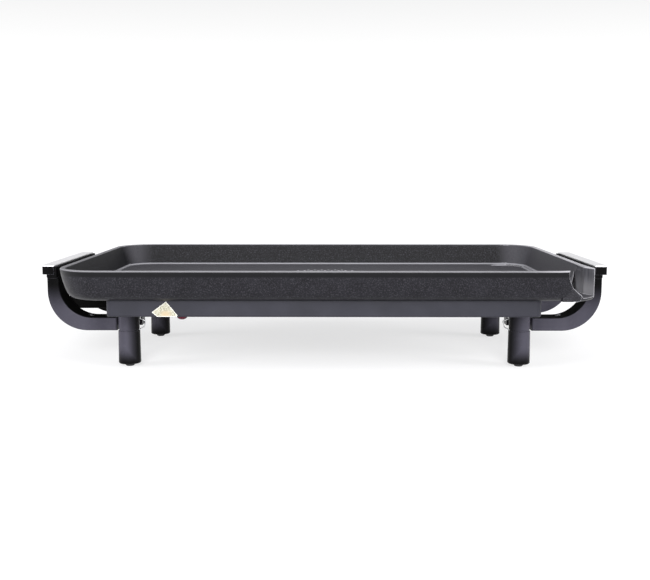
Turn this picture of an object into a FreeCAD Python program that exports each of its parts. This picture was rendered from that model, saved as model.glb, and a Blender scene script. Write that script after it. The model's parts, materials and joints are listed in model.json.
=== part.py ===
import FreeCAD, Part
import math
import os

from FreeCAD import Vector

# Table-top electric griddle: a cast pan that lifts off a heated steel base on legs, with a
# carrying handle at each end. Millimetres, +X right, -Y front, +Z up. The origin is on the
# table, under the middle of the base.

# ---- driving dimensions ----
PAN_HALF_X = 248.8
PAN_OFFSET_X = 1.2
PAN_HALF_Y = 157.0
PAN_CORNER = 41.0
PAN_TOP = 101.4
PAN_BOTTOM = 72.4
PAN_FLOOR = 78.0
GUTTER_FLOOR = 76.7
GUTTER_START_X = 199.0
GUTTER_END_X = 235.0
SPOUT_FLOOR = 75.6
STUD_X = 180.0
STUD_Y = 118.0
STUD_RADIUS = 4.0
CHEEK_X = 244.8
CHEEK_KINK_Y = -115.6

LIFT_GAP = 0.3
FIT = 0.05
BOX_HALF_X = 201.3
BOX_HALF_Y = 140.0
BOX_CORNER = 5.0
BOX_BOTTOM = 56.7
BOX_TOP = PAN_BOTTOM - LIFT_GAP
BOX_SHEET = 0.8
BOX_FLOOR = BOX_BOTTOM + BOX_SHEET

REFLECTOR_HALF_X = 184.0
REFLECTOR_HALF_Y = 125.0
REFLECTOR_BOTTOM = 59.9
REFLECTOR_SHEET = 0.6
REFLECTOR_TOP = REFLECTOR_BOTTOM + REFLECTOR_SHEET
REFLECTOR_RIM = 63.9

ELEMENT_RADIUS = 3.25
ELEMENT_Z = 67.6
ELEMENT_BEND = 20.0
ELEMENT_END_X = -186.0
ELEMENT_END_Y = 15.0
CLIP_SHEET = 0.8
CLIP_WIDTH = 8.0

INLET_Z = 64.6
BLOCK_OUTER_X = -204.0
BLOCK_INNER_X = -188.5
BLOCK_HALF_Y = 34.0
PIN_RADIUS = 2.5
PIN_NECK_RADIUS = 2.2
PIN_Y = 14.0
PIN_TIP_X = -228.0
PIN_NECK_X = -204.5
SLEEVE_RADIUS = 4.0
PROBE_RADIUS = 3.3
SLEEVE_END_X = -128.0
SHROUD_OUTER_X = -261.0
SHROUD_HALF_Y = 42.0
SHROUD_BOTTOM = 50.4
SHROUD_TOP = 71.5
SHROUD_WALL = 2.4
SHROUD_SCREW_RADIUS = 1.4
SHROUD_SCREW_Y = 36.6

LEG_X = 191.6
LEG_Y = 84.9
LEG_TOP_RADIUS = 10.2
LEG_FOOT_RADIUS = 10.9
LEG_GROOVE_Z = 36.0
FOOT_RADIUS = 4.4
FOOT_HEIGHT = 2.6

CHANNEL_INNER_X = 183.0
CHANNEL_OUTER_X = 200.0
CHANNEL_FOOT_X = 176.5
CHANNEL_HALF_Y = 74.0
CHANNEL_BOTTOM = 45.6
CHANNEL_SHEET = 1.2

ARM_INNER_Y = 46.0
ARM_OUTER_Y = 73.0
ARM_BOTTOM = 32.8
ARM_BAR_TOP = 45.6
ARM_START_X = 206.6
ARM_BEND_X = 235.6
ARM_BEND_RADIUS = 39.0
ARM_OUTER_X = ARM_BEND_X + ARM_BEND_RADIUS
ARM_INNER_X = 262.8
ARM_INNER_BEND = 32.3
ARM_TOP = 87.0
ARM_SCREW_X = 235.5
ARM_SCREW_Y = 56.0
TONGUE_SCREW_X = 191.5
GRIP_HALF_Y = 76.0
GRIP_BOTTOM = 85.3
GRIP_TOP = 97.2
LEDGE_OUTER_X = 278.2
LEDGE_BOTTOM = 89.3
COVER_TOP = GRIP_TOP + 1.3
COVER_HALF_Y = 76.8
COVER_INNER_X = 266.0
COVER_OUTER_X = 278.4

LAMP_X = -131.4
LAMP_Y = -134.0
LAMP_RADIUS = 5.0

EPS = 0.01


# ---- helpers ----
def box(x0, x1, y0, y1, z0, z1):
    return Part.makeBox(x1 - x0, y1 - y0, z1 - z0, Vector(x0, y0, z0))


def cylinder(radius, x, y, z, length, direction=(0, 0, 1)):
    return Part.makeCylinder(radius, length, Vector(x, y, z), Vector(*direction))


def mirror_x(shape):
    return shape.mirror(Vector(0, 0, 0), Vector(1, 0, 0))


def mirror_y(shape):
    return shape.mirror(Vector(0, 0, 0), Vector(0, 1, 0))


def at_corners(shape, x, y):
    """Copies of a shape at the four corners, mirrored so that each faces outward the same way."""
    first = shape.translated(Vector(x, y, 0))
    return [first, mirror_x(first), mirror_y(first), mirror_x(mirror_y(first))]


def prism_y(points, y0, y1):
    """An outline of (x, z) points, extruded from y0 to y1."""
    corners = [Vector(x, y0, z) for x, z in points]
    face = Part.Face(Part.makePolygon(corners + corners[:1]))
    return face.extrude(Vector(0, y1 - y0, 0))


def plate(points, z0, z1):
    """An outline of (x, y) points, extruded from z0 to z1."""
    corners = [Vector(x, y, z0) for x, y in points]
    face = Part.Face(Part.makePolygon(corners + corners[:1]))
    return face.extrude(Vector(0, 0, z1 - z0))


def turned(profile):
    """A solid of revolution about Z from (radius, z) points."""
    corners = [Vector(radius, 0, z) for radius, z in profile]
    face = Part.Face(Part.makePolygon(corners + corners[:1]))
    return face.revolve(Vector(0, 0, 0), Vector(0, 0, 1), 360)


def rounded_plug(half_x, half_y, corner, wall):
    """A solid with a rounded-rectangle outline and one wall section all the way round.

    wall runs from the bottom up: a start (inset, z), then (inset, z) for a straight piece or
    ((inset, z), (inset, z)) for an arc through its middle point to its end.
    """
    def section(reach):
        def at(step):
            return Vector(reach - step[0], 0, step[1])

        here = at(wall[0])
        edges = [Part.makeLine(Vector(0, 0, here.z), here)]
        for step in wall[1:]:
            if isinstance(step[0], tuple):
                edges.append(Part.Arc(here, at(step[0]), at(step[1])).toShape())
                here = at(step[1])
            else:
                edges.append(Part.makeLine(here, at(step)))
                here = at(step)
        axis_top = Vector(0, 0, here.z)
        edges.append(Part.makeLine(here, axis_top))
        edges.append(Part.makeLine(axis_top, Vector(0, 0, wall[0][1])))
        return Part.Face(Part.Wire(edges))

    centre_x, centre_y = half_x - corner, half_y - corner
    up = Vector(0, 0, 1)
    side = section(half_x).extrude(Vector(0, centre_y, 0))
    end = section(half_y).rotated(Vector(0, 0, 0), up, 90).extrude(Vector(centre_x, 0, 0))
    turn = section(corner).revolve(Vector(0, 0, 0), up, 90).translated(Vector(centre_x, centre_y, 0))
    quarter = side.fuse([end, turn])
    half = quarter.fuse(mirror_x(quarter))
    return half.fuse(mirror_y(half)).removeSplitter()


def bent_rod(points, radius, bend):
    """A round rod along straight runs joined by tangent arcs."""
    corners = [Vector(*point) for point in points]
    path = []
    start = corners[0]
    for before, at, after in zip(corners, corners[1:], corners[2:]):
        back = (before - at).normalize()
        onward = (after - at).normalize()
        half_turn = (math.pi - back.getAngle(onward)) / 2
        reach = bend * math.tan(half_turn)
        first, last = at + back * reach, at + onward * reach
        middle = at + (back + onward).normalize() * (bend / math.cos(half_turn) - bend)
        path += [Part.makeLine(start, first), Part.Arc(first, middle, last).toShape()]
        start = last
    path.append(Part.makeLine(start, corners[-1]))
    ring = Part.Wire(Part.makeCircle(radius, corners[0], corners[1] - corners[0]))
    return Part.Wire(path).makePipeShell([ring], True, False)


def cross_screw(head_radius, head_height, shank_radius, shank_length):
    """A cross-recessed screw, head down at z = 0 and shank upward."""
    head = turned([(0, -head_height), (head_radius * 0.6, -head_height),
                   (head_radius, -head_height * 0.45), (head_radius, 0), (0, 0)])
    shank = cylinder(shank_radius, 0, 0, -EPS, shank_length)
    slot = head_radius * 0.62
    recess = box(-slot, slot, -0.45, 0.45, -head_height - 1, -head_height * 0.4)
    turned_recess = recess.rotated(Vector(0, 0, 0), Vector(0, 0, 1), 90)
    return head.fuse(shank).cut(recess.fuse(turned_recess))


def flipped(shape):
    return shape.rotated(Vector(0, 0, 0), Vector(1, 0, 0), 180)


def export(name, shapes):
    solids = shapes if isinstance(shapes, list) else [shapes]
    group = solids[0] if len(solids) == 1 else Part.makeCompound(solids)
    group.exportStep("parts/" + name + ".step")


# ---- pan ----
def pan_plug(wall):
    """A plug on the pan's outline, which sits a little off the middle of the base."""
    return rounded_plug(PAN_HALF_X, PAN_HALF_Y, PAN_CORNER, wall).translated(Vector(PAN_OFFSET_X, 0, 0))


def pan_cavity():
    """The space inside the sloping walls, with a small round foot and a slightly flared lip."""
    return pan_plug([
        (14.4, PAN_FLOOR), ((12.6, PAN_FLOOR + 0.7), (11.6, PAN_FLOOR + 2.3)),
        (4.3, PAN_TOP - 1.2), ((3.9, PAN_TOP - 0.35), (3.1, PAN_TOP)), (3.1, PAN_TOP + 2)])


def pan_gutter():
    """A shallow trough across the right-hand end that carries fat to the spout."""
    half_x = (GUTTER_END_X - GUTTER_START_X) / 2
    depth = PAN_FLOOR - GUTTER_FLOOR
    trough = rounded_plug(half_x, PAN_HALF_Y - 15.5, 10.0, [
        (depth, GUTTER_FLOOR), (0, PAN_FLOOR), (0, PAN_FLOOR + 1)])
    floor = pan_plug([(14.5, GUTTER_FLOOR - 1), (14.5, PAN_FLOOR + 2)])
    return trough.translated(Vector(GUTTER_START_X + half_x, 0, 0)).common(floor)


def cheek():
    """A thick, upright piece of the right-hand wall where the spout's cut begins."""
    outline = [(248.0, -72), (CHEEK_X, -90), (CHEEK_X, CHEEK_KINK_Y), (251.4, -128), (250.0, -105)]
    return plate(outline, PAN_BOTTOM + 3, PAN_TOP - 0.2)


def spout_notch():
    """The corner cut: a flat cheek on the right, and a lip on the left that curves to a V."""
    cheek_back, cheek_in, cheek_out = (CHEEK_X - 1.2, -84), (CHEEK_X, CHEEK_KINK_Y), (254.9, -135.2)
    far = (264.0, -172.0)
    levels = [
        (SPOUT_FLOOR, (233.8, -143.2), (-0.60, 0.80)),
        (77.6, (232.5, -144.5), (-0.54, 0.84)),
        (80.2, (230.8, -146.0), (-0.42, 0.91)),
        (82.9, (228.9, -147.5), (-0.29, 0.96)),
        (85.9, (226.5, -149.4), (-0.14, 0.99)),
        (89.9, (224.1, -151.6), (0.05, 1.00)),
        (94.6, (222.3, -153.6), (0.23, 0.97)),
        (PAN_TOP + 2, (221.3, -155.5), (0.41, 0.91)),
    ]
    rings = []
    for z, lip, inward in levels:
        lip_in = (lip[0] + inward[0] * 19, lip[1] + inward[1] * 19)
        lip_out = (lip[0] - inward[0] * 12, lip[1] - inward[1] * 12)
        outline = [cheek_back, cheek_in, cheek_out, far, lip_out, lip_in]
        corners = [Vector(x, y, z) for x, y in outline]
        rings.append(Part.makePolygon(corners + corners[:1]))
    return Part.makeLoft(rings, True, True)


def spout_boss():
    """The thick corner under and beside the spout, with its lower edge rounded."""
    outline = [(213, -112), (236, -70), (246.4, -76), (249.4, -92), (250.2, -112), (251.6, -128.6),
               (249.6, -133.4), (243.0, -141.6), (234.4, -149.4), (218, -148.6)]
    blank = plate(outline, PAN_BOTTOM, PAN_TOP - 0.4)
    lower = [edge for edge in blank.Edges
             if abs(edge.CenterOfMass.z - PAN_BOTTOM) < EPS and edge.CenterOfMass.x > 229
             and edge.CenterOfMass.y < -99]
    return blank.makeFillet(2.8, lower)


def pan():
    outer = pan_plug([
        (15.9, PAN_BOTTOM), ((9.3, PAN_BOTTOM + 2.1), (5.5, PAN_BOTTOM + 6.9)),
        ((1.9, 90.2), (0.0, PAN_TOP - 1.7)), ((0.5, PAN_TOP - 0.5), (1.7, PAN_TOP))])
    body = outer.fuse(spout_boss()).cut([pan_cavity(), pan_gutter()])
    body = body.fuse(cheek()).cut(spout_notch())
    stud = cylinder(STUD_RADIUS, 0, 0, PAN_BOTTOM - 4.6, 5.0)
    return body.fuse(at_corners(stud, STUD_X, STUD_Y)).removeSplitter()


# ---- heated base ----
def vent_slots():
    """Rows of narrow slots through the base's floor."""
    slots = []
    for centre_x in (-70, 70):
        for row in range(7):
            y = -48 + row * 16
            slots.append(box(centre_x - 26, centre_x + 26, y - 1.4, y + 1.4,
                             BOX_BOTTOM - 1, BOX_FLOOR + 1))
    return slots


def heater_box():
    outer = rounded_plug(BOX_HALF_X, BOX_HALF_Y, BOX_CORNER, [
        (1.6, BOX_BOTTOM), ((0.5, BOX_BOTTOM + 0.5), (0, BOX_BOTTOM + 1.6)), (0, BOX_TOP)])
    inner = rounded_plug(BOX_HALF_X - BOX_SHEET, BOX_HALF_Y - BOX_SHEET, BOX_CORNER - BOX_SHEET, [
        (1.0, BOX_FLOOR), (0, BOX_FLOOR + 1.0), (0, BOX_TOP + 1)])
    inlet_window = box(-BOX_HALF_X - 2, -BOX_HALF_X + 3, -BLOCK_HALF_Y, BLOCK_HALF_Y, 59.5, 69.5)
    lamp_hole = cylinder(LAMP_RADIUS - 1.2, LAMP_X, LAMP_Y, BOX_BOTTOM - 1, 4)
    stud_holes = at_corners(cylinder(2.7, 0, 0, BOX_BOTTOM - 1, 4), LEG_X, LEG_Y)
    screw_holes = [cylinder(1.5, x, y, BOX_BOTTOM - 1, 4) for x, y in spacer_places()]
    return outer.cut([inner, inlet_window, lamp_hole] + stud_holes + screw_holes + vent_slots())


def corner_brackets():
    """Gussets in the box corners: the pan sits on them and its studs drop into their holes."""
    reach_x, reach_y = BOX_HALF_X - BOX_SHEET, BOX_HALF_Y - BOX_SHEET
    gusset = plate([(reach_x, reach_y - 4), (reach_x - 4, reach_y), (reach_x - 46, reach_y),
                    (reach_x - 46, reach_y - 10), (reach_x - 10, reach_y - 46),
                    (reach_x, reach_y - 46)], BOX_TOP - 1.2, BOX_TOP)
    web = box(reach_x - 44, reach_x - 8, reach_y - 1.2, reach_y, BOX_FLOOR + 1.2, BOX_TOP - 1.2)
    hole = cylinder(STUD_RADIUS + 0.8, STUD_X, STUD_Y, BOX_TOP - 3, 6)
    return at_corners(gusset.fuse(web).cut(hole), 0, 0)


def reflector():
    """A bright tray under the element, with its edges turned up and a gap for the probe."""
    rise = REFLECTOR_RIM - REFLECTOR_BOTTOM
    outer = rounded_plug(REFLECTOR_HALF_X, REFLECTOR_HALF_Y, 8.0, [
        (rise, REFLECTOR_BOTTOM), (0, REFLECTOR_RIM)])
    inner = rounded_plug(REFLECTOR_HALF_X, REFLECTOR_HALF_Y, 8.0, [
        (rise + 0.25, REFLECTOR_TOP), (0.85, REFLECTOR_RIM), (0.85, REFLECTOR_RIM + 1)])
    probe_gap = box(-REFLECTOR_HALF_X - 1, -REFLECTOR_HALF_X + 9, -6, 6, REFLECTOR_TOP, 70)
    return outer.cut([inner, probe_gap])


def spacer_places():
    return [(x, y) for x in (-110, 20, 150) for y in (-70, 70)]


def spacers():
    height = REFLECTOR_BOTTOM - BOX_FLOOR
    return [cylinder(3.5, x, y, BOX_FLOOR, height) for x, y in spacer_places()]


def box_screws():
    """Screws from below that hold the reflector on its spacers."""
    screw = cross_screw(3.4, 1.6, 1.5, BOX_SHEET)
    return [screw.translated(Vector(x, y, BOX_BOTTOM)) for x, y in spacer_places()]


def heating_element():
    """One sheathed rod bent into an M, both ends at the inlet."""
    half = [(ELEMENT_END_X, ELEMENT_END_Y), (-150, ELEMENT_END_Y), (-150, 105), (165, 105),
            (165, 35), (-120, 35)]
    outline = half + [(x, -y) for x, y in reversed(half)]
    return bent_rod([(x, y, ELEMENT_Z) for x, y in outline], ELEMENT_RADIUS, ELEMENT_BEND)


def element_clips():
    """Saddle clips over the element's long runs."""
    clips = []
    outer = ELEMENT_RADIUS + CLIP_SHEET
    for x, y in [(-90, -105), (90, -105), (-90, 105), (90, 105), (30, -35), (30, 35)]:
        start = x - CLIP_WIDTH / 2
        band = cylinder(outer, start, y, ELEMENT_Z, CLIP_WIDTH, (1, 0, 0))
        legs = box(start, start + CLIP_WIDTH, y - outer, y + outer, REFLECTOR_TOP, ELEMENT_Z)
        foot = box(start, start + CLIP_WIDTH, y - outer - 7, y + outer + 7,
                   REFLECTOR_TOP, REFLECTOR_TOP + CLIP_SHEET)
        reach = ELEMENT_RADIUS + FIT
        bore = cylinder(reach, start - 1, y, ELEMENT_Z, CLIP_WIDTH + 2, (1, 0, 0))
        inside = box(start - 1, start + CLIP_WIDTH + 1, y - reach, y + reach,
                     REFLECTOR_TOP - 1, ELEMENT_Z)
        clips.append(band.fuse([legs, foot]).cut([bore, inside]))
    return clips


def terminal_bushes():
    """Ceramic bushes round the cold ends of the element."""
    bushes = []
    for y in (-ELEMENT_END_Y, ELEMENT_END_Y):
        bush = cylinder(4.6, -182, y, ELEMENT_Z, 9, (1, 0, 0))
        bore = cylinder(ELEMENT_RADIUS + 0.15, -184, y, ELEMENT_Z, 14, (1, 0, 0))
        bushes.append(bush.cut(bore))
    return bushes


def element_terminals():
    """Spade tags that join the element's ends to the contact pins."""
    tags = []
    for side in (-1, 1):
        y = side * ELEMENT_END_Y
        tags.append(box(BLOCK_INNER_X, ELEMENT_END_X, y - 3, y + 3, ELEMENT_Z - 0.5, ELEMENT_Z + 0.5))
    return tags


def thermal_cutout():
    """A button cut-out riveted to the tray, beside the element."""
    can = turned([(0, 0), (8, 0), (8, 2.2), (6.4, 2.6), (6.4, 3.4), (0, 3.4)])
    tag = box(7.6, 13.5, -2, 2, 1.2, 1.9)
    button = can.fuse([tag, mirror_x(tag)])
    return button.translated(Vector(-60, 0, REFLECTOR_TOP))


def lead_wires():
    """Insulated leads in the space under the tray: the lamp's pair and the cut-out's."""
    z = BOX_FLOOR + 1.0
    lamp_front = bent_rod([(-190, -26, z), (-150, -26, z), (-138, -90, z), (-136, -125, z)], 0.85, 12)
    lamp_back = bent_rod([(-190, -22, z), (-146, -22, z), (-133, -90, z), (-131, -125, z)], 0.85, 12)
    cutout = bent_rod([(-190, 26, z), (-120, 26, z), (-80, 4, z), (-62, 4, z)], 0.85, 14)
    return [lamp_front, lamp_back, cutout]


def earth_terminal():
    """Earth screw, washer and nut on the box floor beside the inlet."""
    stud = cylinder(2, 0, 0, 0, 9)
    washer = cylinder(4.5, 0, 0, 0, 1)
    corners = [(3.9 * math.cos(math.radians(60 * n)), 3.9 * math.sin(math.radians(60 * n)))
               for n in range(6)]
    nut = plate(corners, 1, 4.2)
    return stud.fuse([washer, nut]).translated(Vector(-192.5, 44, BOX_FLOOR))


# ---- inlet ----
def inlet_block():
    block = box(BLOCK_OUTER_X, BLOCK_INNER_X, -BLOCK_HALF_Y + 1, BLOCK_HALF_Y - 1, 59.8, 69.2)
    pins = [cylinder(PIN_NECK_RADIUS + FIT, BLOCK_OUTER_X - 1, y, INLET_Z, 13, (1, 0, 0))
            for y in (-PIN_Y, PIN_Y)]
    probe = cylinder(SLEEVE_RADIUS + FIT, BLOCK_OUTER_X - 1, 0, INLET_Z, 20, (1, 0, 0))
    return block.cut(pins + [probe])


def inlet_pins():
    """Two round contact pins with tapered tips and a narrower shank in the block."""
    pins = []
    for y in (-PIN_Y, PIN_Y):
        tip = Part.makeCone(1.2, PIN_RADIUS, 2, Vector(PIN_TIP_X, y, INLET_Z), Vector(1, 0, 0))
        shaft = cylinder(PIN_RADIUS, PIN_TIP_X + 2, y, INLET_Z, PIN_NECK_X - PIN_TIP_X - 2, (1, 0, 0))
        neck = cylinder(PIN_NECK_RADIUS, PIN_NECK_X, y, INLET_Z, BLOCK_OUTER_X + 12 - PIN_NECK_X, (1, 0, 0))
        pins.append(shaft.fuse([tip, neck]))
    return pins


def probe_sleeve():
    """The blind tube that takes the thermostat's probe."""
    tube = cylinder(SLEEVE_RADIUS, BLOCK_OUTER_X, 0, INLET_Z, SLEEVE_END_X - BLOCK_OUTER_X, (1, 0, 0))
    bore = cylinder(PROBE_RADIUS, BLOCK_OUTER_X - 1, 0, INLET_Z,
                    SLEEVE_END_X - BLOCK_OUTER_X - 1, (1, 0, 0))
    return tube.cut(bore)


def inlet_shroud():
    """A guard round the contacts, open at its outer end, with a flange against the box."""
    outer = box(SHROUD_OUTER_X, -BOX_HALF_X, -SHROUD_HALF_Y, SHROUD_HALF_Y, SHROUD_BOTTOM, SHROUD_TOP)
    long_edges = [edge for edge in outer.Edges if edge.BoundBox.XLength > 1]
    outer = outer.makeFillet(3.0, long_edges)
    inner = box(SHROUD_OUTER_X - 1, BLOCK_OUTER_X, -SHROUD_HALF_Y + SHROUD_WALL,
                SHROUD_HALF_Y - SHROUD_WALL, SHROUD_BOTTOM + SHROUD_WALL, SHROUD_TOP - SHROUD_WALL)
    block = box(BLOCK_OUTER_X - 1, -BOX_HALF_X + 1, -BLOCK_HALF_Y + 1, BLOCK_HALF_Y - 1, 59.8, 69.2)
    holes = [cylinder(SHROUD_SCREW_RADIUS, BLOCK_OUTER_X - 1, y, INLET_Z, 5, (1, 0, 0))
             for y in (-SHROUD_SCREW_Y, SHROUD_SCREW_Y)]
    return outer.cut([inner, block] + holes)


def shroud_screws():
    length = -BLOCK_OUTER_X - BOX_HALF_X
    screw = cross_screw(2.4, 1.3, SHROUD_SCREW_RADIUS, length)
    lying = screw.rotated(Vector(0, 0, 0), Vector(0, 1, 0), 90)
    return [lying.translated(Vector(BLOCK_OUTER_X, y, INLET_Z)) for y in (-SHROUD_SCREW_Y, SHROUD_SCREW_Y)]


# ---- lamp and label ----
def lamp_lens():
    """A clear red button that shows below the box."""
    lens = turned([(0, -3.0), (1.7, -2.85), (3.2, -2.35), (4.4, -1.4), (LAMP_RADIUS, 0), (0, 0)])
    return lens.translated(Vector(LAMP_X, LAMP_Y, BOX_BOTTOM))


def lamp_body():
    """The lamp's barrel and retaining ring, inside the box."""
    barrel = cylinder(LAMP_RADIUS - 1.3, 0, 0, 0, 11)
    ring = cylinder(LAMP_RADIUS - 0.4, 0, 0, BOX_SHEET, 1.6)
    tags = [box(-3.4, -2.4, -1.5, 1.5, 11, 13), box(2.4, 3.4, -1.5, 1.5, 11, 13)]
    return barrel.fuse([ring] + tags).translated(Vector(LAMP_X, LAMP_Y, BOX_BOTTOM))


def blank_label():
    """A plain tag stuck on the front of the box, standing on one corner."""
    outline = [(-158.4, 61.4), (-145.2, 71.2), (-134.8, 58.4), (-135.6, 57.2), (-153.8, 57.2)]
    return prism_y(outline, -BOX_HALF_Y - 0.25, -BOX_HALF_Y)


# ---- legs ----
def leg():
    """A moulded round leg with a parting groove and a blind hole for its stud."""
    body = turned([(0, 2.0), (5.0, 2.0), (LEG_FOOT_RADIUS - 0.8, 2.9), (LEG_FOOT_RADIUS, 3.7),
                   (LEG_TOP_RADIUS + 0.4, LEG_GROOVE_Z - 0.9), (LEG_TOP_RADIUS - 0.5, LEG_GROOVE_Z - 0.5),
                   (LEG_TOP_RADIUS - 0.5, LEG_GROOVE_Z + 0.5), (LEG_TOP_RADIUS, LEG_GROOVE_Z + 0.9),
                   (LEG_TOP_RADIUS, BOX_BOTTOM - 0.8), (LEG_TOP_RADIUS - 0.8, BOX_BOTTOM),
                   (0, BOX_BOTTOM)])
    stud_hole = cylinder(2.5, 0, 0, 30, 40)
    foot_recess = cylinder(FOOT_RADIUS + 0.1, 0, 0, 0, FOOT_HEIGHT)
    return body.cut([stud_hole, foot_recess])


def foot():
    return turned([(0, 0), (FOOT_RADIUS - 0.8, 0), (FOOT_RADIUS, 0.8), (FOOT_RADIUS, FOOT_HEIGHT),
                   (0, FOOT_HEIGHT)])


def leg_stud():
    """A threaded stud with its nut inside the box."""
    corners = [(4.6 * math.cos(math.radians(60 * n)), 4.6 * math.sin(math.radians(60 * n)))
               for n in range(6)]
    nut = plate(corners, BOX_FLOOR, BOX_FLOOR + 4)
    return cylinder(2.5, 0, 0, 30, BOX_FLOOR + 6 - 30).fuse(nut)


def leg_clips():
    """A spring-wire loop on the inner side of each leg that stops its stud from turning."""
    inner = LEG_X - LEG_TOP_RADIUS
    path = [(inner + 1.5, 47.6), (inner - 6.4, 44.6), (inner - 4.6, 38.6), (inner + 1.5, 35.4)]
    loop = bent_rod([(x, LEG_Y, z) for x, z in path], 0.55, 1.8)
    return at_corners(loop.cut(leg().translated(Vector(LEG_X, LEG_Y, 0))), 0, 0)


# ---- handles ----
def crossmember():
    """A pressed channel under the box that ties a pair of legs and takes the handle's ends."""
    section = [(CHANNEL_FOOT_X, BOX_BOTTOM), (CHANNEL_FOOT_X, BOX_BOTTOM - CHANNEL_SHEET),
               (CHANNEL_INNER_X, BOX_BOTTOM - CHANNEL_SHEET), (CHANNEL_INNER_X, CHANNEL_BOTTOM),
               (CHANNEL_OUTER_X, CHANNEL_BOTTOM), (CHANNEL_OUTER_X, BOX_BOTTOM),
               (CHANNEL_OUTER_X - CHANNEL_SHEET, BOX_BOTTOM),
               (CHANNEL_OUTER_X - CHANNEL_SHEET, CHANNEL_BOTTOM + CHANNEL_SHEET),
               (CHANNEL_INNER_X + CHANNEL_SHEET, CHANNEL_BOTTOM + CHANNEL_SHEET),
               (CHANNEL_INNER_X + CHANNEL_SHEET, BOX_BOTTOM)]
    return prism_y(section, -CHANNEL_HALF_Y, CHANNEL_HALF_Y)


def arm():
    """One curved arm: a bar under the base, a quarter bend and an upright to the grip."""
    bend_z = ARM_BOTTOM + ARM_BEND_RADIUS
    inner_start_x = ARM_INNER_X - ARM_INNER_BEND
    inner_end_z = ARM_BAR_TOP + ARM_INNER_BEND
    slant = math.sqrt(0.5)

    def point(x, z):
        return Vector(x, ARM_INNER_Y, z)

    outer_mid = point(ARM_BEND_X + ARM_BEND_RADIUS * slant, bend_z - ARM_BEND_RADIUS * slant)
    inner_mid = point(inner_start_x + ARM_INNER_BEND * slant, inner_end_z - ARM_INNER_BEND * slant)
    edges = [
        Part.makeLine(point(ARM_START_X, ARM_BOTTOM), point(ARM_BEND_X, ARM_BOTTOM)),
        Part.Arc(point(ARM_BEND_X, ARM_BOTTOM), outer_mid, point(ARM_OUTER_X, bend_z)).toShape(),
        Part.makeLine(point(ARM_OUTER_X, bend_z), point(ARM_OUTER_X, ARM_TOP)),
        Part.makeLine(point(ARM_OUTER_X, ARM_TOP), point(ARM_INNER_X, ARM_TOP)),
        Part.makeLine(point(ARM_INNER_X, ARM_TOP), point(ARM_INNER_X, inner_end_z)),
        Part.Arc(point(ARM_INNER_X, inner_end_z), inner_mid, point(inner_start_x, ARM_BAR_TOP)).toShape(),
        Part.makeLine(point(inner_start_x, ARM_BAR_TOP), point(ARM_START_X, ARM_BAR_TOP)),
        Part.makeLine(point(ARM_START_X, ARM_BAR_TOP), point(ARM_START_X, ARM_BOTTOM)),
    ]
    blank = Part.Face(Part.Wire(edges)).extrude(Vector(0, ARM_OUTER_Y - ARM_INNER_Y, 0))
    rims = [edge for edge in blank.Edges
            if edge.BoundBox.YLength < EPS and edge.CenterOfMass.z < ARM_TOP - EPS]
    shaped = blank.makeFillet(1.2, rims)
    tongue = box(CHANNEL_INNER_X, ARM_START_X + 2, ARM_SCREW_Y - 7, ARM_SCREW_Y + 7,
                 ARM_BOTTOM + 4, CHANNEL_BOTTOM - 0.1)
    return shaped.fuse(tongue)


def handle():
    """The right-hand handle: two arms and the grip between them, in one moulding."""
    grip = box(ARM_INNER_X, ARM_OUTER_X, -GRIP_HALF_Y, GRIP_HALF_Y, GRIP_BOTTOM, GRIP_TOP)
    ledge = box(ARM_INNER_X + 4, LEDGE_OUTER_X, -COVER_HALF_Y, COVER_HALF_Y, LEDGE_BOTTOM, GRIP_TOP)
    corners = [edge for edge in ledge.Edges
               if edge.BoundBox.ZLength > 1 and edge.CenterOfMass.x > LEDGE_OUTER_X - 1]
    ledge = ledge.makeFillet(2.0, corners)
    under = [edge for edge in grip.Edges
             if edge.BoundBox.YLength > 1 and edge.CenterOfMass.z < GRIP_BOTTOM + EPS]
    ends = [edge for edge in grip.Edges if edge.BoundBox.ZLength > 1]
    grip = grip.makeFillet(2.5, under + ends)
    front = arm()
    body = grip.fuse([ledge, front, mirror_y(front)])
    holes = []
    for y in (-ARM_SCREW_Y, ARM_SCREW_Y):
        holes.append(cylinder(1.7 + FIT, ARM_SCREW_X, y, ARM_BAR_TOP - 6, 8))
        holes.append(cylinder(3.5, ARM_SCREW_X, y, ARM_BAR_TOP, 6))
        holes.append(cylinder(1.5 + FIT, TONGUE_SCREW_X, y, ARM_BOTTOM, 20))
    return body.cut(holes)


def grip_cover():
    """A metal strip along the top of the grip, with its outer corners and upper edges rounded."""
    cover = box(COVER_INNER_X, COVER_OUTER_X, -COVER_HALF_Y - 0.2, COVER_HALF_Y + 0.2, GRIP_TOP, COVER_TOP)
    corners = [edge for edge in cover.Edges
               if edge.BoundBox.ZLength > 1 and edge.CenterOfMass.x > COVER_OUTER_X - 1]
    cover = cover.makeFillet(2.2, corners)
    crest = [edge for edge in cover.Edges if edge.CenterOfMass.z > COVER_TOP - EPS]
    return cover.makeFillet(0.5, crest)


def arm_screws():
    """Screws down into the bars, and screws up through the tongues into the channels."""
    down = flipped(cross_screw(3.2, 1.5, 1.7, 5.5)).translated(
        Vector(ARM_SCREW_X, ARM_SCREW_Y, ARM_BAR_TOP))
    up = cross_screw(3.2, 1.5, 1.5, CHANNEL_BOTTOM - ARM_BOTTOM - 4).translated(
        Vector(TONGUE_SCREW_X, ARM_SCREW_Y, ARM_BOTTOM + 4))
    return at_corners(down, 0, 0) + at_corners(up, 0, 0)


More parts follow.
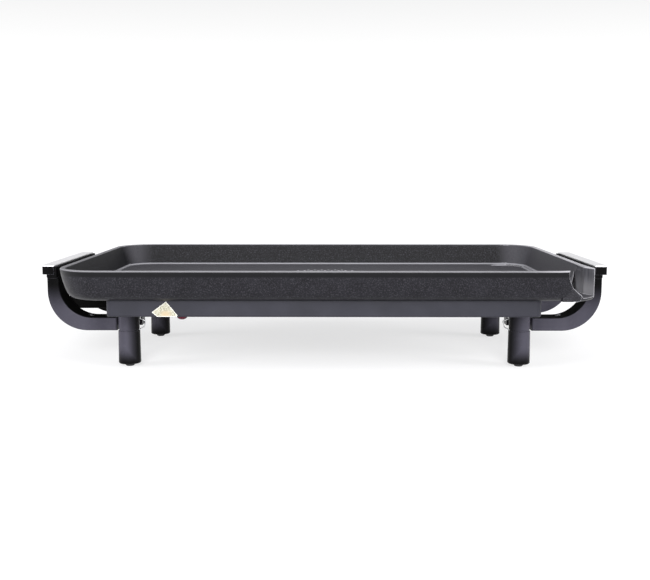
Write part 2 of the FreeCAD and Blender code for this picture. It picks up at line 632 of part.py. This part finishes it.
def main():
    os.makedirs("parts", exist_ok=True)
    export("pan", pan())
    export("heater_box", heater_box())
    export("corner_brackets", corner_brackets())
    export("reflector", reflector())
    export("reflector_spacers", spacers())
    export("box_screws", box_screws())
    export("heating_element", heating_element())
    export("element_clips", element_clips())
    export("terminal_bushes", terminal_bushes())
    export("element_terminals", element_terminals())
    export("thermal_cutout", thermal_cutout())
    export("lead_wires", lead_wires())
    export("earth_terminal", earth_terminal())
    export("inlet_block", inlet_block())
    export("inlet_pins", inlet_pins())
    export("probe_sleeve", probe_sleeve())
    export("inlet_shroud", inlet_shroud())
    export("shroud_screws", shroud_screws())
    export("lamp_lens", lamp_lens())
    export("lamp_body", lamp_body())
    export("blank_label", blank_label())
    for name, x, y in [("front_left", -1, -1), ("front_right", 1, -1),
                       ("rear_left", -1, 1), ("rear_right", 1, 1)]:
        place = Vector(x * LEG_X, y * LEG_Y, 0)
        export("leg_" + name, leg().translated(place))
        export("foot_" + name, foot().translated(place))
    export("leg_studs", at_corners(leg_stud(), LEG_X, LEG_Y))
    export("leg_clips", leg_clips())
    for side, turn in (("left", mirror_x), ("right", lambda shape: shape)):
        export("crossmember_" + side, turn(crossmember()))
        export("handle_" + side, turn(handle()))
        export("grip_cover_" + side, turn(grip_cover()))
    export("arm_screws", arm_screws())


main()
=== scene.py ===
import json
import math

import bmesh
import bpy
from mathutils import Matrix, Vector


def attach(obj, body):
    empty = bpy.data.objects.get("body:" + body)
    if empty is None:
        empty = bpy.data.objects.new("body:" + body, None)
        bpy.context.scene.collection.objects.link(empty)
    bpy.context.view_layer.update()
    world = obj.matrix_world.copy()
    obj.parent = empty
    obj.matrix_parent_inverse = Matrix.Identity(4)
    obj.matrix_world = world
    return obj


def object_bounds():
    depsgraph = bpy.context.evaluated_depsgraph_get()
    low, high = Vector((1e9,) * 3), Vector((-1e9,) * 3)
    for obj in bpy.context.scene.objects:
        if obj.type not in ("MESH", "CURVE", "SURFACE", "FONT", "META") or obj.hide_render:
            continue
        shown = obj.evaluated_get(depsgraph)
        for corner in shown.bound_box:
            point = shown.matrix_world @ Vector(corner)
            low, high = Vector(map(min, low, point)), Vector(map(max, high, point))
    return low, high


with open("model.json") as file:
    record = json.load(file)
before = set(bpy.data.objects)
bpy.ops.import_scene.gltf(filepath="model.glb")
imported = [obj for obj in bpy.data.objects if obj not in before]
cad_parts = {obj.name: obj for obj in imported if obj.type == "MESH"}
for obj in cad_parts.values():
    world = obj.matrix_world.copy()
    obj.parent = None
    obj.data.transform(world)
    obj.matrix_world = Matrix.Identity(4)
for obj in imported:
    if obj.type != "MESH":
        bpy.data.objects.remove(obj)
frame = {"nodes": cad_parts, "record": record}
cad_box = [list(corner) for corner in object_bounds()]
nodes = frame["nodes"]
mounts = {mount["name"]: mount["pos_m"] for mount in frame["record"]["mounts"]}

MM = 0.001
PAN_FLOOR = mounts["cooking_surface"][2]
PAN_RIM = cad_box[1][2]

# ---------------------------------------------------------------- places on the object
# The looks change across these places, in metres on the object.
# Each pair says where a mask is 0 and where it is 1. Where the order runs downwards, the mask does too.
# Most pan places below mark painted shade, painted highlights and painted reflections.
PAN_CORNER_X = (208 * MM, 232 * MM)
PAN_CORNER_Y = (118 * MM, 142 * MM)
PAN_SPOUT_END = (205 * MM, 238 * MM)
DOT_ZONE = (100 * MM, 90 * MM)
DOT_CROWN = (PAN_FLOOR + 0.1 * MM, PAN_FLOOR + 0.3 * MM)
UNDER_LIP = (PAN_RIM - 6.9 * MM, PAN_RIM - 4.9 * MM)
LIP_TOP = (PAN_RIM - 1.4 * MM, PAN_RIM - 0.8 * MM)
LIP_FADES_BACK = (146 * MM, 110 * MM)
LIP_BRIGHTENS = (180 * MM, 238 * MM)
CREASE_LEFT = (214 * MM, 217 * MM)
CREASE_RIGHT = (228.2 * MM, 226.8 * MM)
CREASE_FRONT = (-135 * MM, -140 * MM)
CREASE_TOP = (83.5 * MM, 82.5 * MM)
SPOUT_X = (226 * MM, 232 * MM)
SPOUT_Y = (-80 * MM, -90 * MM)
SPOUT_FALL = (96 * MM, 78 * MM)

# The bakelite places below mark painted reflection and painted shade.
PAINTED_REFLECTION_Z = (50 * MM, 80 * MM)
REAR_LEG_Y = (76 * MM, 80 * MM)
REAR_LEG_X = (207 * MM, 203 * MM)
LEG_INNER_HALF = (194 * MM, 181 * MM)
LEG_END = (21 * MM, 4 * MM)
ARM_X = (205 * MM, 208 * MM)
BEHIND_FRONT_ARM = (-68 * MM, -60 * MM)
LEFT_HALF = (100 * MM, 0.0)

LABEL_MIDDLE_X = -145.8 * MM
LABEL_PATCH_X = (7 * MM, 1 * MM)
LABEL_PATCH_Z = (64.5 * MM, 60 * MM)

# The same kind of pairs, for one part of the surface's direction.
INSIDE_WALL_UP = (0.08, 0.25)
LEVEL_UP = (0.93, 0.985)
FOOT_RING_UP = (0.42, 0.60)
FOOT_RING_END_UP = (0.995, 0.96)
UNDERCUT_UP = (0.05, -0.02)
SPOUT_FACE_LEFT = (-0.25, -0.50)
SIDE_FACE = (0.7, 0.4)


# ---------------------------------------------------------------- materials
class Shader:
    """A small helper that builds one Principled material node by node."""

    def __init__(self, name, colour, rough, metallic=0.0):
        self.material = bpy.data.materials.new(name)
        self.material.use_nodes = True
        self.tree = self.material.node_tree
        self.bsdf = self.tree.nodes["Principled BSDF"]
        self.set(Metallic=metallic, Roughness=rough)
        self.bsdf.inputs["Base Color"].default_value = (*colour, 1)
        self.coords = self.tree.nodes.new("ShaderNodeTexCoord").outputs["Object"]

    def set(self, **values):
        for name, value in values.items():
            self.bsdf.inputs[name.replace("_", " ")].default_value = value

    def link(self, output, target):
        self.tree.links.new(output, target)

    def feed(self, socket, value):
        """Links an output to a socket, or sets the socket to a number or a colour."""
        if isinstance(value, tuple):
            socket.default_value = (*value, 1)
        elif isinstance(value, float):
            socket.default_value = value
        else:
            self.link(value, socket)

    def stretched(self, scale):
        node = self.tree.nodes.new("ShaderNodeMapping")
        node.inputs["Scale"].default_value = scale
        self.link(self.coords, node.inputs["Vector"])
        return node.outputs["Vector"]

    def noise(self, scale, detail=3.0, coords=None, rough=0.5):
        node = self.tree.nodes.new("ShaderNodeTexNoise")
        node.inputs["Scale"].default_value = scale
        node.inputs["Detail"].default_value = detail
        node.inputs["Roughness"].default_value = rough
        self.link(coords or self.coords, node.inputs["Vector"])
        return node.outputs["Fac"]

    def ramp(self, value, stops):
        node = self.tree.nodes.new("ShaderNodeValToRGB")
        ramp = node.color_ramp
        ramp.elements[0].position = stops[0][0]
        ramp.elements[1].position = stops[-1][0]
        for position, _ in stops[1:-1]:
            ramp.elements.new(position)
        for element, (_, colour) in zip(ramp.elements, stops):
            element.color = (*colour, 1)
        self.link(value, node.inputs["Fac"])
        return node.outputs["Color"]

    def grey_ramp(self, value, stops):
        return self.ramp(value, [(position, (level,) * 3) for position, level in stops])

    def mix(self, factor, first, second):
        node = self.tree.nodes.new("ShaderNodeMix")
        node.data_type = "RGBA"
        self.link(factor, node.inputs["Factor"])
        self.feed(node.inputs[6], first)
        self.feed(node.inputs[7], second)
        return node.outputs[2]

    def maths(self, operation, first, second=0.0):
        node = self.tree.nodes.new("ShaderNodeMath")
        node.operation = operation
        self.feed(node.inputs[0], first)
        self.feed(node.inputs[1], second)
        return node.outputs["Value"]

    def both(self, first, *others):
        """1 where every mask is 1."""
        for mask in others:
            first = self.maths("MULTIPLY", first, mask)
        return first

    def either(self, first, *others):
        """1 where any mask is 1."""
        for mask in others:
            first = self.maths("MAXIMUM", first, mask)
        return first

    def span(self, value, low, high):
        """0 at low, 1 at high, smooth between."""
        node = self.tree.nodes.new("ShaderNodeMapRange")
        node.interpolation_type = "SMOOTHSTEP"
        node.inputs["From Min"].default_value = low
        node.inputs["From Max"].default_value = high
        self.link(value, node.inputs["Value"])
        return node.outputs["Result"]

    def part(self, vector, name):
        node = self.tree.nodes.new("ShaderNodeSeparateXYZ")
        self.link(vector, node.inputs["Vector"])
        return node.outputs[name]

    def axis(self, name):
        """One object coordinate, in metres."""
        return self.part(self.coords, name)

    def away(self, name, middle=0.0):
        """The distance from a middle plane along one axis, in metres."""
        return self.maths("ABSOLUTE", self.maths("SUBTRACT", self.axis(name), middle))

    def facing(self, name):
        """One part of the surface's direction; for Z, 1 is a floor and 0 is a wall."""
        return self.part(self.tree.nodes.new("ShaderNodeNewGeometry").outputs["Normal"], name)

    def edges(self, radius, low, high):
        """1 along the sharp edges of a shape, where the callers paint highlights."""
        bevel = self.tree.nodes.new("ShaderNodeBevel")
        bevel.samples = 6
        bevel.inputs["Radius"].default_value = radius
        geometry = self.tree.nodes.new("ShaderNodeNewGeometry")
        dot = self.tree.nodes.new("ShaderNodeVectorMath")
        dot.operation = "DOT_PRODUCT"
        self.link(bevel.outputs["Normal"], dot.inputs[0])
        self.link(geometry.outputs["Normal"], dot.inputs[1])
        return self.span(self.maths("SUBTRACT", 1.0, dot.outputs["Value"]), low, high)

    def colour(self, output):
        self.link(output, self.bsdf.inputs["Base Color"])

    def rough(self, output):
        self.link(output, self.bsdf.inputs["Roughness"])

    def bump(self, height, distance, strength):
        node = self.tree.nodes.new("ShaderNodeBump")
        node.inputs["Distance"].default_value = distance
        node.inputs["Strength"].default_value = strength
        self.link(height, node.inputs["Height"])
        self.link(node.outputs["Normal"], self.bsdf.inputs["Normal"])


def pan_walls(s, speckle, outside):
    """The inner walls are painted nearly black as painted shade, with painted highlights paler in the
    corners and towards the spout's end.
    """
    # painted shade: the inner walls' colour, darker than the outside of the pan
    deep = (0.0026, 0.0026, 0.0034)
    wall_highlight_colour = (0.042, 0.041, 0.047)
    # painted highlight in the corners and towards the spout's end, standing in for reflections
    corner = s.both(s.span(s.away("X"), *PAN_CORNER_X), s.span(s.away("Y"), *PAN_CORNER_Y))
    wall = s.mix(corner, s.mix(s.span(s.axis("X"), *PAN_SPOUT_END), deep, wall_highlight_colour), wall_highlight_colour)
    speckled_wall = s.mix(speckle, wall, (0.024, 0.0235, 0.029))
    return s.mix(s.span(s.facing("Z"), *INSIDE_WALL_UP), outside, speckled_wall)


def pan_floor(s, speckle, walls):
    """The floor is painted paler as a painted reflection, with a painted highlight along its foot and
    on the tops of the dots.
    """
    up = s.facing("Z")
    # painted reflection: the level floor is painted paler than the walls
    level = s.mix(speckle, (0.05, 0.049, 0.056), (0.12, 0.118, 0.13))
    # painted highlight along the foot of the walls
    foot = s.both(s.span(up, *FOOT_RING_UP), s.span(up, *FOOT_RING_END_UP))
    floor_with_foot_highlight = s.mix(foot, s.mix(s.span(up, *LEVEL_UP), walls, level), (0.20, 0.198, 0.215))
    # painted highlight on the dots' tops
    near_middle = s.both(s.span(s.away("X"), *DOT_ZONE), s.span(s.away("Y"), *DOT_ZONE))
    dot_top_highlight = s.both(near_middle, s.span(s.axis("Z"), *DOT_CROWN))
    return s.mix(dot_top_highlight, floor_with_foot_highlight, (0.42, 0.415, 0.44))


def pan_spout(s, body):
    """The spout's upright face is painted paler than its shade as painted light, with vertical streaks,
    and paler still towards the bottom.
    """
    at_spout = s.both(s.span(s.axis("X"), *SPOUT_X), s.span(s.axis("Y"), *SPOUT_Y))
    face = s.both(at_spout, s.span(s.facing("X"), *SPOUT_FACE_LEFT))
    streaks = s.noise(330, 3.0, s.stretched((1.0, 1.0, 0.05)))
    # painted light: the streaked spout face, turning paler towards the bottom
    spout_streaks = s.ramp(streaks, [(0.35, (0.022, 0.022, 0.026)), (0.65, (0.07, 0.069, 0.078))])
    cast = s.mix(s.span(s.axis("Z"), *SPOUT_FALL), spout_streaks, (0.17, 0.168, 0.18))
    return s.mix(face, body, cast)


def pan_painted_highlights(s):
    """Painted highlights on the lip and on sharp edges, except the soft crease where the spout's corner
    begins.
    """
    # painted highlight along the lip, fading towards the back
    lip = s.both(s.span(s.axis("Z"), *LIP_TOP), s.span(s.axis("Y"), *LIP_FADES_BACK))
    crease_x = s.both(s.span(s.axis("X"), *CREASE_LEFT), s.span(s.axis("X"), *CREASE_RIGHT))
    crease = s.both(crease_x, s.span(s.axis("Y"), *CREASE_FRONT), s.span(s.axis("Z"), *CREASE_TOP))
    edge_highlight = s.both(s.edges(1.1 * MM, 0.03, 0.16), s.maths("SUBTRACT", 1.0, crease))
    return s.either(lip, edge_highlight)


def make_nonstick():
    """Dark fluoropolymer coating: a fine pale speckle over a slightly pebbled surface, with painted
    shade and painted highlights by place.
    """
    s = Shader("nonstick", (0.008, 0.008, 0.010), 0.34)
    speckle = s.grey_ramp(s.noise(1100, 1.0), [(0.0, 0.0), (0.52, 0.0), (0.70, 1.0), (1.0, 1.0)])
    cloud = s.ramp(s.noise(60, 4.0), [(0.3, (0.0058, 0.0056, 0.0074)), (0.7, (0.0092, 0.0089, 0.0117))])
    outside = s.mix(speckle, cloud, (0.032, 0.0312, 0.0375))
    coated = pan_floor(s, speckle, pan_walls(s, speckle, outside))
    # painted shade in the strip under the overhanging lip
    under_lip_shade = s.both(s.span(s.axis("Z"), *UNDER_LIP), s.span(s.facing("Z"), *UNDERCUT_UP))
    body = pan_spout(s, s.mix(under_lip_shade, coated, (0.004, 0.004, 0.005)))
    # painted highlight colour for the lip and edges, brighter towards the spout's end
    metal = s.mix(s.span(s.axis("X"), *LIP_BRIGHTENS), (0.175, 0.173, 0.185), (0.40, 0.395, 0.42))
    s.colour(s.mix(pan_painted_highlights(s), body, metal))
    gloss = s.grey_ramp(s.noise(240, 3.0), [(0.25, 0.30), (0.75, 0.42)])
    s.rough(s.mix(s.span(s.facing("Z"), *INSIDE_WALL_UP), gloss, (0.62, 0.62, 0.62)))
    s.bump(s.noise(900, 2.0), 0.1 * MM, 0.4)
    s.set(Specular_IOR_Level=0.16)
    return s.material


def make_grey_enamel():
    """Satin dark grey paint on sheet steel, with a slight orange-peel."""
    s = Shader("grey_enamel", (0.016, 0.016, 0.021), 0.36)
    body = s.ramp(s.noise(35, 3.0), [(0.3, (0.021, 0.021, 0.027)), (0.7, (0.026, 0.026, 0.034))])
    # painted highlight along sharp edges
    s.colour(s.mix(s.edges(0.6 * MM, 0.05, 0.3), body, (0.05, 0.05, 0.06)))
    s.rough(s.grey_ramp(s.noise(90, 2.0), [(0.3, 0.30), (0.7, 0.40)]))
    s.bump(s.noise(420, 2.0), 0.06 * MM, 0.35)
    s.set(Specular_IOR_Level=0.12)
    return s.material


def arm_painted_shade(s):
    """Where shade is painted: the arms' side faces, and all of the left handle behind its front arm."""
    side_face = s.span(s.maths("ABSOLUTE", s.facing("Y")), *SIDE_FACE)
    behind = s.both(s.span(s.axis("Y"), *BEHIND_FRONT_ARM), s.span(s.axis("X"), *LEFT_HALF))
    return s.both(s.either(side_face, behind), s.span(s.away("X"), *ARM_X))


def make_bakelite():
    """Black phenolic moulding with painted light and shade: painted grey low down as a painted
    reflection, black higher up, and painted shade on faces turned inwards.
    """
    s = Shader("bakelite", (0.009, 0.009, 0.011), 0.3)
    streaks = s.noise(40, 3.0, s.stretched((1.0, 1.0, 0.12)))
    grey = s.ramp(streaks, [(0.3, (0.038, 0.0365, 0.048)), (0.7, (0.056, 0.0535, 0.069))])
    black = s.ramp(streaks, [(0.3, (0.0010, 0.0010, 0.0012)), (0.7, (0.0022, 0.0022, 0.0026))])
    # painted reflection: grey low down, turning black higher up
    body = s.mix(s.span(s.axis("Z"), *PAINTED_REFLECTION_Z), grey, black)
    # painted shade: darker on the rear legs, the legs' inner halves, the arms' insides and the legs'
    # lower ends
    rear_leg_shade = s.both(s.span(s.axis("Y"), *REAR_LEG_Y), s.span(s.away("X"), *REAR_LEG_X), 0.75)
    leg_inner_shade = s.span(s.away("X"), *LEG_INNER_HALF)
    arm = arm_painted_shade(s)
    dark = s.either(rear_leg_shade, leg_inner_shade, arm, s.span(s.axis("Z"), *LEG_END))
    shaded = s.mix(dark, body, (0.002, 0.002, 0.002))
    # painted highlight along sharp edges
    s.colour(s.mix(s.edges(0.7 * MM, 0.05, 0.3), shaded, (0.07, 0.068, 0.08)))
    gloss = s.grey_ramp(s.noise(160, 3.0), [(0.25, 0.20), (0.75, 0.30)])
    s.rough(s.mix(arm, gloss, (0.72, 0.72, 0.72)))
    s.bump(s.noise(700, 2.0), 0.04 * MM, 0.3)
    s.set(Specular_IOR_Level=0.06)
    return s.material


def make_metal(name, colour, rough, grain, spread=0.08, stretch=(1.0, 1.0, 1.0), metallic=1.0):
    """Bare or plated metal with a drawn grain in its colour, roughness and height."""
    s = Shader(name, colour, rough, metallic)
    lines = s.noise(grain, 4.0, s.stretched(stretch), 0.6)
    dark = tuple(c * 0.82 for c in colour)
    s.colour(s.ramp(lines, [(0.3, dark), (0.7, colour)]))
    s.rough(s.grey_ramp(lines, [(0.25, rough - spread), (0.75, rough + spread)]))
    s.bump(lines, 0.03 * MM, 0.3)
    return s.material


def make_plain(name, dark, light, rough, scale):
    """A dull surface with a soft mottle, such as rubber, ceramic or silicone."""
    s = Shader(name, dark, rough)
    mottle = s.noise(scale, 4.0)
    s.colour(s.ramp(mottle, [(0.3, dark), (0.7, light)]))
    s.rough(s.grey_ramp(mottle, [(0.25, rough - 0.06), (0.75, rough + 0.06)]))
    s.bump(s.noise(scale * 6, 2.0), 0.05 * MM, 0.4)
    return s.material


def make_red_lens():
    """Deep red acrylic over a dark lamp well."""
    s = Shader("red_lens", (0.30, 0.012, 0.035), 0.16)
    s.colour(s.ramp(s.noise(200, 2.0), [(0.3, (0.038, 0.001, 0.007)), (0.7, (0.060, 0.002, 0.010))]))
    s.set(Coat_Weight=0.05, Coat_Roughness=0.06, Transmission_Weight=0.04, Specular_IOR_Level=0.2)
    return s.material


def make_label_paper():
    """Cream film with a golden cast low in the middle, and a near-white painted highlight along its
    edges.
    """
    s = Shader("label_paper", (0.34, 0.31, 0.23), 0.55)
    film = s.ramp(s.noise(900, 3.0), [(0.4, (0.19, 0.18, 0.13)), (0.6, (0.40, 0.39, 0.31))])
    patch_x = s.span(s.away("X", LABEL_MIDDLE_X), *LABEL_PATCH_X)
    patch = s.both(patch_x, s.span(s.axis("Z"), *LABEL_PATCH_Z))
    tinted = s.mix(patch, film, (0.36, 0.285, 0.18))
    # painted highlight along the label's edges
    s.colour(s.mix(s.edges(1.2 * MM, 0.02, 0.20), tinted, (0.90, 0.90, 0.87)))
    s.rough(s.grey_ramp(s.noise(200, 2.0), [(0.3, 0.5), (0.7, 0.6)]))
    s.bump(s.noise(1500, 2.0), 0.02 * MM, 0.3)
    return s.material


MATERIALS = {
    "nonstick": make_nonstick(),
    "grey_enamel": make_grey_enamel(),
    "bakelite": make_bakelite(),
    "zinc_steel": make_metal("zinc_steel", (0.62, 0.62, 0.64), 0.30, 90),
    "bright_steel": make_metal("bright_steel", (0.72, 0.72, 0.73), 0.22, 120, stretch=(0.1, 1, 1)),
    "sheath_steel": make_metal("sheath_steel", (0.16, 0.145, 0.13), 0.45, 60),
    "screw_steel": make_metal("screw_steel", (0.58, 0.58, 0.60), 0.28, 300),
    "satin_silver": make_metal("satin_silver", (0.86, 0.86, 0.88), 0.30, 150, 0.05, (1, 0.05, 1), 0.55),
    "brass_plate": make_metal("brass_plate", (0.72, 0.55, 0.25), 0.26, 200),
    "ceramic": make_plain("ceramic", (0.62, 0.60, 0.54), (0.74, 0.72, 0.66), 0.35, 120),
    "wire_sleeve": make_plain("wire_sleeve", (0.52, 0.50, 0.44), (0.62, 0.60, 0.54), 0.55, 80),
    "label_paper": make_label_paper(),
    "foot_rubber": make_plain("foot_rubber", (0.010, 0.010, 0.011), (0.02, 0.02, 0.021), 0.75, 200),
    "red_lens": make_red_lens(),
}


def dress_frame():
    """Gives every CAD node the material of its slot."""
    for entry in frame["record"]["subparts"]:
        mesh = nodes[entry["node"]].data
        mesh.materials.clear()
        mesh.materials.append(MATERIALS[entry["material_slot"]])


# ---------------------------------------------------------------- pieces
DOT_PITCH = 7.7 * MM
DOT_FIELD = 76.0 * MM
DOT_RADIUS = 1.7 * MM
DOT_HEIGHT = 0.45 * MM
DOT_SIDES = 14
DOT_PROFILE = [(1.0, -0.3), (0.93, 0.35), (0.72, 0.8), (0.38, 1.0)]


def mesh_piece(name, build, material, body):
    """An object from a bmesh that build() fills, riding on a body."""
    mesh = bpy.data.meshes.new(name)
    shape = bmesh.new()
    build(shape)
    shape.to_mesh(mesh)
    shape.free()
    piece = bpy.data.objects.new(name, mesh)
    bpy.context.collection.objects.link(piece)
    mesh.materials.append(MATERIALS[material])
    for polygon in mesh.polygons:
        polygon.use_smooth = True
    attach(piece, body)


def dot_places():
    """A hexagonal grid inside a circle."""
    row_step = DOT_PITCH * math.sqrt(0.75)
    reach = int(DOT_FIELD / row_step) + 1
    places = []
    for row in range(-reach, reach + 1):
        for column in range(-reach - 1, reach + 2):
            x = (column + (row % 2) / 2) * DOT_PITCH
            y = row * row_step
            if math.hypot(x, y) <= DOT_FIELD:
                places.append((x, y))
    return places


def ring(shape, x, y, z, radius):
    angles = [math.tau * n / DOT_SIDES for n in range(DOT_SIDES)]
    return [shape.verts.new((x + radius * math.cos(a), y + radius * math.sin(a), z)) for a in angles]


def build_dots(shape):
    """Low round studs with a soft crown, sunk slightly into the floor."""
    for x, y in dot_places():
        loops = []
        for radius, height in DOT_PROFILE:
            loops.append(ring(shape, x, y, PAN_FLOOR + height * DOT_HEIGHT, radius * DOT_RADIUS))
        for low, high in zip(loops, loops[1:]):
            for n in range(DOT_SIDES):
                m = (n + 1) % DOT_SIDES
                shape.faces.new((low[n], low[m], high[m], high[n]))
        shape.faces.new(loops[-1])
        shape.faces.new(list(reversed(loops[0])))


# ---------------------------------------------------------------- studio
FLOOR_SIZE = 200.0
FLOOR_COLOUR = (0.40, 0.40, 0.406)
FLOOR_GLOW = 0.64

# The surround is brightest up to the first height of a direction's Z and dims towards the second.
SURROUND = [(0.12, (1.02, 1.02, 1.02, 1)), (0.45, (0.30, 0.30, 0.31, 1))]

# name, azimuth (0 in front of the object, 90 on its right), elevation, spread, strength
LIGHTS = [
    ("front_light", 0, 17, 26, 3.5),
    ("top_light", 0, 52, 50, 0.9),
    ("left_light", -68, 14, 24, 2.0),
    ("right_light", 68, 14, 24, 2.0),
]

CAMERA_PLACE = (0.0076, -1.006, 0.1917)
CAMERA_PITCH = 7.21
CAMERA_YAW = 0.41
CAMERA_LENS = 52.6
CAMERA_SENSOR = 36.0


def stage_floor():
    """A pale matt floor with a little glow of its own, so that its shadows stay faint."""
    bpy.ops.mesh.primitive_plane_add(size=FLOOR_SIZE)
    floor = bpy.context.object
    floor.name = "studio_floor"
    shader = Shader("studio_floor", FLOOR_COLOUR, 0.95)
    shader.set(Specular_IOR_Level=0.0, Emission_Color=(1, 1, 1, 1), Emission_Strength=FLOOR_GLOW)
    floor.data.materials.append(shader.material)


def soft_light(name, azimuth, elevation, spread, strength):
    """A distant round softbox, with its angles in degrees."""
    data = bpy.data.lights.new(name, "SUN")
    data.angle = math.radians(spread)
    data.energy = strength
    lamp = bpy.data.objects.new(name, data)
    bpy.context.collection.objects.link(lamp)
    turn = math.radians(azimuth)
    rise = math.radians(elevation)
    source = Vector((math.sin(turn) * math.cos(rise), -math.cos(turn) * math.cos(rise), math.sin(rise)))
    lamp.location = source * 2
    lamp.rotation_mode = "QUATERNION"
    lamp.rotation_quaternion = (-source).to_track_quat("-Z", "Y")


def surround():
    """A white world that dims overhead."""
    world = bpy.data.worlds.new("studio")
    bpy.context.scene.world = world
    world.use_nodes = True
    tree = world.node_tree
    coords = tree.nodes.new("ShaderNodeTexCoord")
    split = tree.nodes.new("ShaderNodeSeparateXYZ")
    ramp = tree.nodes.new("ShaderNodeValToRGB")
    for element, (height, colour) in zip(ramp.color_ramp.elements, SURROUND):
        element.position = height
        element.color = colour
    tree.links.new(coords.outputs["Generated"], split.inputs["Vector"])
    tree.links.new(split.outputs["Z"], ramp.inputs["Fac"])
    tree.links.new(ramp.outputs["Color"], tree.nodes["Background"].inputs["Color"])


def make_camera():
    data = bpy.data.cameras.new("camera")
    data.lens = CAMERA_LENS
    data.sensor_width = CAMERA_SENSOR
    data.clip_start = 10 * MM
    camera = bpy.data.objects.new("camera", data)
    bpy.context.collection.objects.link(camera)
    camera.location = CAMERA_PLACE
    camera.rotation_euler = (math.radians(90 - CAMERA_PITCH), 0, math.radians(CAMERA_YAW))
    bpy.context.scene.camera = camera


# ---------------------------------------------------------------- the scene
dress_frame()
make_camera()
stage_floor()
surround()
for light in LIGHTS:
    soft_light(*light)
mesh_piece("pan_dots", build_dots, "nonstick", "pan")

bpy.context.scene.view_settings.view_transform = "Standard"
